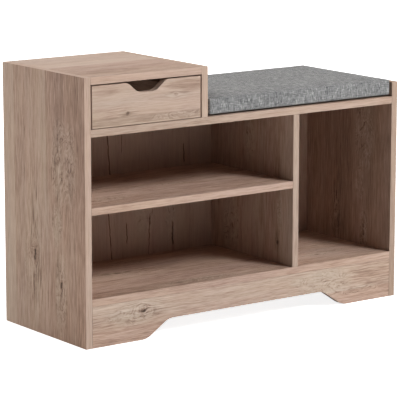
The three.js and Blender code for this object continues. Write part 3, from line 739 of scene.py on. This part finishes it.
ZINC = steel("zinc", srgb(196, 198, 202), srgb(150, 152, 156), metallic=1.0, roughness=0.36, seed=3.0)
PAINT, PAINT_SHADE = srgb(232, 231, 227), srgb(216, 215, 210)
WHITE_STEEL = steel("white_steel", PAINT, PAINT_SHADE, metallic=0.0, roughness=0.42, seed=8.0, scale=900.0)
NYLON = nylon("nylon")
BASE_LOW, BASE_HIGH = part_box("cushion_base_board")
HOOK = tape("hook_tape", srgb(14, 14, 14), srgb(52, 51, 50), seed=2.0)

for node in NODES:
    if node.startswith(("cam_nut", "shelf_pin")):
        dress(node, ZINC, width=0.00035)
    elif node.startswith("cam_bolt"):
        dress(node, ZINC, width=0.0002)
    elif "_runner_" in node:
        dress(node, WHITE_STEEL, width=0.00025)
    elif "_roller_" in node:
        dress(node, NYLON, width=0.0003)
dress("cushion_base_board", plywood("plywood", BASE_LOW, BASE_HIGH), THIN_EDGE)


# ---------------------------------------------------------------- cushion


EDGE_SHARES = (0.0, 0.28, 0.62)


def spaced(low, high, radius, step):
    """Grid stations from low to high, closer together over a rounded edge's width at each end."""
    edge = [radius * share for share in EDGE_SHARES]
    count = max(1, round((high - low - 2 * radius) / step))
    inner = [low + radius + (high - low - 2 * radius) * i / count for i in range(count + 1)]
    return [low + value for value in edge] + inner + [high - value for value in reversed(edge)]


def rounded_box(low, high, radius, step):
    """A closed box of quads with round edges and corners, on a regular grid."""
    bm = bmesh.new()
    stations = [spaced(low[a], high[a], radius, step) for a in range(3)]
    inner_low = [low[a] + radius for a in range(3)]
    inner_high = [high[a] - radius for a in range(3)]
    made = {}

    def vertex(index):
        if index not in made:
            point = Vector([stations[a][index[a]] for a in range(3)])
            core = Vector([min(max(point[a], inner_low[a]), inner_high[a]) for a in range(3)])
            out = point - core
            made[index] = bm.verts.new(core + out.normalized() * radius)
        return made[index]

    for axis in range(3):
        p, q = (axis + 1) % 3, (axis + 2) % 3
        for side in (0, len(stations[axis]) - 1):
            for i in range(len(stations[p]) - 1):
                for j in range(len(stations[q]) - 1):
                    corners = []
                    for di, dj in ((0, 0), (1, 0), (1, 1), (0, 1)):
                        index = [0, 0, 0]
                        index[axis], index[p], index[q] = side, i + di, j + dj
                        corners.append(vertex(tuple(index)))
                    bm.faces.new(corners)
    return bm


CUSHION_LOW, CUSHION_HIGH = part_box("seat_cushion")
# The pad starts a little inside the CAD cushion, and further in beside the tower, before it swells.
PAD_FRONT, PAD_TOP, PAD_LEFT = 0.0004, 0.0006, 0.0026
PAD_BASE = 0.0002
PAD_ROUND = 0.0034
PAD_STEP = 0.0062
PAD_CAP = Vector((0.0012, 0.0020, 0.0036))
PAD_FRAMES = 20


def puff(piece, cap):
    """Blows the pad up as cloth under pressure, and holds every point within cap of where it began."""
    start = [v.co.copy() for v in piece.data.vertices]
    cloth = piece.modifiers.new("cloth", "CLOTH")
    settings = cloth.settings
    settings.quality = 6
    settings.mass = 0.3
    settings.tension_stiffness = 18
    settings.compression_stiffness = 18
    settings.shear_stiffness = 6
    settings.bending_stiffness = 0.6
    settings.use_pressure = True
    settings.uniform_pressure_force = 4
    settings.effector_weights.gravity = 0
    cloth.collision_settings.use_collision = False
    cloth.point_cache.frame_start, cloth.point_cache.frame_end = 1, PAD_FRAMES
    scene = bpy.context.scene
    for number in range(1, PAD_FRAMES + 1):
        scene.frame_set(number)
    graph = bpy.context.evaluated_depsgraph_get()
    blown = [v.co.copy() for v in piece.evaluated_get(graph).data.vertices]
    piece.modifiers.remove(cloth)
    scene.frame_set(1)
    for vertex, before, after in zip(piece.data.vertices, start, blown):
        move = after - before
        reach = Vector((move.x / cap.x, move.y / cap.y, move.z / cap.z)).length
        vertex.co = before + move / max(reach, 1)


def cushion():
    """The padded cover, flat underneath, in place of the CAD cushion."""
    low = CUSHION_LOW + Vector((PAD_LEFT, PAD_FRONT, 0))
    high = CUSHION_HIGH - Vector((0, PAD_FRONT, PAD_TOP))
    mesh = mesh_of("seat_cushion_cover", rounded_box(low, high, PAD_ROUND, PAD_STEP))
    piece = linked("seat_cushion_cover", mesh)
    puff(piece, PAD_CAP)
    for vertex in mesh.vertices:
        vertex.co.z = max(vertex.co.z, CUSHION_LOW.z + PAD_BASE)
    divide = piece.modifiers.new("subdivide", "SUBSURF")
    divide.levels = divide.render_levels = 1
    mesh.materials.append(linen("grey_linen", (CUSHION_LOW.x + CUSHION_HIGH.x) / 2, CUSHION_HIGH.z))
    mesh.shade_smooth()
    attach(piece, "cushion")
    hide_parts("seat_cushion")
    return piece


COVER = cushion()

HEM_WIDTH, HEM_THICK = 0.016, 0.00042
HEM_PAST_BOARD = 0.004
HEM_STEP, HEM_WANDER = 0.008, 0.0004
STAPLE_PITCH, STAPLE_LONG, STAPLE_THICK = 0.032, 0.010, 0.0010
STAPLE_MARGIN, STAPLE_WANDER = 0.025, 0.002
STAPLE_DROP = 0.0005
HAIR_GAP = 0.00003


def between(one, other, share):
    """The coordinates of a point a share of the way from one point to another."""
    return [a + (b - a) * share for a, b in zip(one, other)]


def frame_strip(low, high, width, thickness, seed):
    """A flat closed strip round a rectangle, with a slightly uneven inner edge."""
    bm = bmesh.new()
    draw = random.Random(seed)
    outside = [(low.x, low.y), (high.x, low.y), (high.x, high.y), (low.x, high.y)]
    inward = [(1, 1), (-1, 1), (-1, -1), (1, -1)]
    inside = [(x + to_x * width, y + to_y * width) for (x, y), (to_x, to_y) in zip(outside, inward)]
    outer, inner = [], []
    for i in range(4):
        j = (i + 1) % 4
        count = round(math.dist(outside[i], outside[j]) / HEM_STEP)
        for k in range(count):
            outer.append(between(outside[i], outside[j], k / count))
            x, y = between(inside[i], inside[j], k / count)
            x += draw.uniform(-HEM_WANDER, HEM_WANDER)
            y += draw.uniform(-HEM_WANDER, HEM_WANDER)
            inner.append((x, y))
    rings = []
    for points, z in ((outer, low.z), (inner, low.z), (inner, low.z + thickness), (outer, low.z + thickness)):
        rings.append([bm.verts.new((x, y, z)) for x, y in points])
    for k in range(4):
        bridge(bm, rings[k], rings[(k + 1) % 4])
    return bm


def slab(bm, low, high):
    """Adds a plain box."""
    for vertex in bmesh.ops.create_cube(bm, size=1)["verts"]:
        vertex.co = Vector([low[a] if vertex.co[a] < 0 else high[a] for a in range(3)])


def hem():
    """The cover's edge, folded under the base board and stapled to it."""
    past = Vector((HEM_PAST_BOARD, HEM_PAST_BOARD, 0))
    low, high = BASE_LOW - past, BASE_HIGH + past
    low.z -= HEM_THICK + HAIR_GAP
    piece = new_piece(
        "cushion_hem",
        mesh_of("cushion_hem", frame_strip(low, high, HEM_WIDTH, HEM_THICK, seed=5)),
        "cushion",
        COVER.data.materials[0],
    )
    soften(piece, width=0.00012)
    staples(low, high)


def staples(low, high):
    """A row of staples along each side of the hem, which spans low to high."""
    bm = bmesh.new()
    draw = random.Random(11)
    top, bottom = low.z - HAIR_GAP, low.z - STAPLE_DROP
    inset = HEM_WIDTH * 0.55
    for along, across in ((X, Y), (Y, X)):
        start, run = low[along] + STAPLE_MARGIN, high[along] - low[along] - 2 * STAPLE_MARGIN
        count = round(run / STAPLE_PITCH)
        for edge in (low[across] + inset, high[across] - inset):
            for i in range(count + 1):
                middle = start + run * i / count + draw.uniform(-STAPLE_WANDER, STAPLE_WANDER)
                one, other = Vector((0, 0, bottom)), Vector((0, 0, top))
                one[along], other[along] = middle - STAPLE_LONG / 2, middle + STAPLE_LONG / 2
                one[across], other[across] = edge - STAPLE_THICK / 2, edge + STAPLE_THICK / 2
                slab(bm, one, other)
    piece = new_piece("cushion_staples", mesh_of("cushion_staples", bm), "cushion", ZINC)
    soften(piece, width=0.00015)


hem()

LOOP = tape("loop_tape", srgb(30, 30, 31), srgb(84, 83, 82), seed=5.0)
TAPE_BASE = 0.0009
HOOK_PITCH, HOOK_THICK = 0.0016, 0.00022
HOOK_MARGIN, HOOK_WANDER = 0.002, 0.0001
HOOKS_SUNK, HOOKS_BELOW_TOP = 0.0001, 0.0006
LOOP_PAST_HOOKS = 0.001
LOOP_INTO_HOOKS, LOOP_UNDER_HEM = 0.0002, 0.0001
CORNER_STEPS = 6


def rounded_plate(bm, low, high, radius):
    """A flat plate with round corners."""
    outline = []
    centres = [
        (high.x - radius, high.y - radius, 0),
        (low.x + radius, high.y - radius, 90),
        (low.x + radius, low.y + radius, 180),
        (high.x - radius, low.y + radius, 270),
    ]
    for cx, cy, start in centres:
        for k in range(CORNER_STEPS + 1):
            turn = math.radians(start + 90 / CORNER_STEPS * k)
            outline.append((cx + radius * math.cos(turn), cy + radius * math.sin(turn)))
    lower = [bm.verts.new((px, py, low.z)) for px, py in outline]
    upper = [bm.verts.new((px, py, high.z)) for px, py in outline]
    bm.faces.new(lower[::-1])
    bm.faces.new(upper)
    bridge(bm, lower, upper)


def hook(bm, root, tall, side):
    """Adds one bent nylon hook, tall above its root. side is 1 or -1 along X."""
    x, y, z = root
    rings = []
    for out, up in ((0, TAPE_BASE - HOOKS_SUNK), (0, tall * 0.8), (0.0003, tall), (0.0007, tall * 0.86)):
        centre = Vector((x + side * out, y, z + up))
        around = ((-HOOK_THICK, 0), (0, -HOOK_THICK), (HOOK_THICK, 0), (0, HOOK_THICK))
        rings.append([bm.verts.new(centre + Vector((a, b, 0))) for a, b in around])
    bm.faces.new(rings[0][::-1])
    bm.faces.new(rings[-1])
    for lower, upper in zip(rings, rings[1:]):
        bridge(bm, lower, upper)


def hook_pad(node, seed):
    """Hook tape: a woven ground with rows of hooks, in place of the plain pad."""
    low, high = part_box(node)
    draw = random.Random(seed)
    bm = bmesh.new()
    rounded_plate(bm, low, Vector((high.x, high.y, low.z + TAPE_BASE)), radius=0.003)
    tall = high.z - low.z - HOOKS_BELOW_TOP
    count = int((high.x - low.x - 2 * HOOK_MARGIN) / HOOK_PITCH)
    for i in range(count + 1):
        for j in range(count + 1):
            x = low.x + HOOK_MARGIN + i * HOOK_PITCH + draw.uniform(-HOOK_WANDER, HOOK_WANDER)
            y = low.y + HOOK_MARGIN + j * HOOK_PITCH + draw.uniform(-HOOK_WANDER, HOOK_WANDER)
            hook(bm, (x, y, low.z), tall, 1 if (i + j) % 2 else -1)
    name = f"{node}_hooks"
    piece = new_piece(name, mesh_of(name, bm), "cabinet", HOOK)
    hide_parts(node)


def loop_pad(node):
    """The soft loop tape on the cushion's underside, over each hook pad."""
    low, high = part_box(node)
    bm = bmesh.new()
    past = Vector((LOOP_PAST_HOOKS, LOOP_PAST_HOOKS, 0))
    low, high = low - past, high + past
    low.z = high.z - LOOP_INTO_HOOKS
    high.z = BASE_LOW.z - HEM_THICK - LOOP_UNDER_HEM
    rounded_plate(bm, low, high, radius=0.004)
    name = node.replace("hook", "loop")
    piece = new_piece(name, mesh_of(name, bm), "cushion", LOOP)
    soften(piece, width=0.0001)


for number, node in enumerate(sorted(n for n in NODES if n.startswith("hook_pad"))):
    hook_pad(node, number)
    loop_pad(node)


SCREW_SIDES = 20
SCREW_RADIUS, SCREW_RISE = 0.0026, 0.0009
SCREW_HEIGHT = 0.0085
STEEL_SHEET = 0.0010


def screw(bm, centre, out):
    """Adds a screw's pan head with a hollow in it, on a wall. out is 1 or -1 along X."""
    rings = []
    for share, up in ((1.0, 0.0), (1.0, 0.3), (0.9, 0.7), (0.62, 1.0)):
        ring = []
        for k in range(SCREW_SIDES):
            turn, radius = 2 * math.pi * k / SCREW_SIDES, SCREW_RADIUS * share
            off = Vector((out * SCREW_RISE * up, radius * math.cos(turn), radius * math.sin(turn)))
            ring.append(bm.verts.new(centre + off))
        rings.append(ring)
    for lower, upper in zip(rings, rings[1:]):
        bridge(bm, lower, upper)
    bm.faces.new(rings[0][::-1])
    hollow = bm.verts.new(centre + Vector((out * SCREW_RISE * 0.35, 0, 0)))
    for k in range(SCREW_SIDES):
        bm.faces.new((rings[-1][k], rings[-1][(k + 1) % SCREW_SIDES], hollow))


def runner_screws(side, out):
    """The three screws that hold a cabinet runner, on its web. out is 1 or -1 along X."""
    low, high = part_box(f"cabinet_runner_{side}")
    wall = (low.x + STEEL_SHEET if out == 1 else high.x - STEEL_SHEET) + out * HAIR_GAP
    bm = bmesh.new()
    for share in (0.16, 0.5, 0.84):
        screw(bm, Vector((wall, low.y + (high.y - low.y) * share, low.z + SCREW_HEIGHT)), out)
    name = f"cabinet_runner_screws_{side}"
    piece = new_piece(name, mesh_of(name, bm), "cabinet", ZINC)
    soften(piece, width=0.0001, angle=30)


runner_screws("left", 1)
runner_screws("right", -1)

# ---------------------------------------------------------------- floor, light and camera


WHITE = (1, 1, 1, 1)
FLOOR_HALF = 60
FLOOR_DROP = 0.0005
BENCH_MIDDLE = Vector((0, 0, 0.27))
LAMP_DISTANCE = 6


def pale_floor(near, far):
    """A matt pale floor. near and far are the white that only the camera sees, by the bench and beyond it."""
    g = Graph("pale_floor")
    x, y, z = g.place()
    faint = g.speckle((x, y, z), (3, 3, 3), detail=3)
    tint = g.blend(faint, (0.86, 0.86, 0.86, 1), (0.85, 0.85, 0.85, 1))
    away = g.math("SQRT", g.add(g.times(x, x), g.times(y, y)))
    lift = g.step(away, 0.7, 2.2, near, far)
    seen = g.times(g.node("ShaderNodeLightPath").outputs["Is Camera Ray"], lift)
    material = g.finish(tint, 0.9, Specular_IOR_Level=0.1, Emission_Color=WHITE)
    shader = next(n for n in g.tree.nodes if n.type == "BSDF_PRINCIPLED")
    g.feed(shader.inputs["Emission Strength"], seen)
    return material


def floor():
    bm = bmesh.new()
    bmesh.ops.create_grid(bm, x_segments=8, y_segments=8, size=FLOOR_HALF)
    piece = linked("floor", mesh_of("floor", bm))
    piece.data.materials.append(pale_floor(near=0.86, far=1.0))
    piece.location.z = -FLOOR_DROP


def lamp(name, azimuth, elevation, size, power, colour=WHITE[:3]):
    """A soft square lamp aimed at the bench. Azimuth 0 is in front of it and 90 to its right."""
    data = bpy.data.lights.new(name, "AREA")
    data.shape = "SQUARE"
    data.size = size
    data.energy = power
    data.color = colour
    piece = linked(name, data)
    a, e = math.radians(azimuth), math.radians(elevation)
    out = Vector((math.sin(a) * math.cos(e), -math.cos(a) * math.cos(e), math.sin(e)))
    piece.location = BENCH_MIDDLE + out * LAMP_DISTANCE
    piece.rotation_mode = "QUATERNION"
    piece.rotation_quaternion = out.to_track_quat("Z", "Y")
    piece.visible_camera = False


def lamp_in_tower():
    """The light that reaches the hollow over the drawer, which the camera sees through the grip."""
    data = bpy.data.lights.new("tower_glow", "POINT")
    data.energy = 0.018
    data.shadow_soft_size = 0.008
    piece = linked("tower_glow", data)
    piece.location = (-0.2515, 0.02, 0.508)
    piece.visible_camera = False


def world(ambient, backdrop):
    """A faint cool light from all round, and a white backdrop that only the camera sees."""
    made = bpy.data.worlds.new("studio")
    bpy.context.scene.world = made
    made.use_nodes = True
    tree = made.node_tree
    tree.nodes.clear()
    path = tree.nodes.new("ShaderNodeLightPath")
    soft, seen = tree.nodes.new("ShaderNodeBackground"), tree.nodes.new("ShaderNodeBackground")
    soft.inputs["Color"].default_value = (0.66, 0.86, 1, 1)
    soft.inputs["Strength"].default_value = ambient
    seen.inputs["Color"].default_value = WHITE
    seen.inputs["Strength"].default_value = backdrop
    mix = tree.nodes.new("ShaderNodeMixShader")
    output = tree.nodes.new("ShaderNodeOutputWorld")
    tree.links.new(path.outputs["Is Camera Ray"], mix.inputs[0])
    tree.links.new(soft.outputs[0], mix.inputs[1])
    tree.links.new(seen.outputs[0], mix.inputs[2])
    tree.links.new(mix.outputs[0], output.inputs["Surface"])


def camera():
    data = bpy.data.cameras.new("camera")
    data.sensor_width = 36
    data.lens = 207.35
    data.clip_start, data.clip_end = 0.1, 500
    piece = linked("camera", data)
    piece.location = (-2.8226, -3.8321, 1.1475)
    piece.rotation_euler = (math.radians(90 - 10.885), math.radians(-0.037), math.radians(-36.246))
    bpy.context.scene.camera = piece


floor()
lamp("low_right", azimuth=62, elevation=15, size=1.8, power=168)
lamp("key", azimuth=25, elevation=39, size=1.5, power=218)
lamp("rear_left", azimuth=-150, elevation=30, size=2.0, power=262, colour=(1, 0.93, 0.87))
lamp("rear_right", azimuth=150, elevation=40, size=2.0, power=62)
world(ambient=0.065, backdrop=1.0)
lamp_in_tower()
camera()
bpy.context.scene.view_settings.view_transform = "Standard"
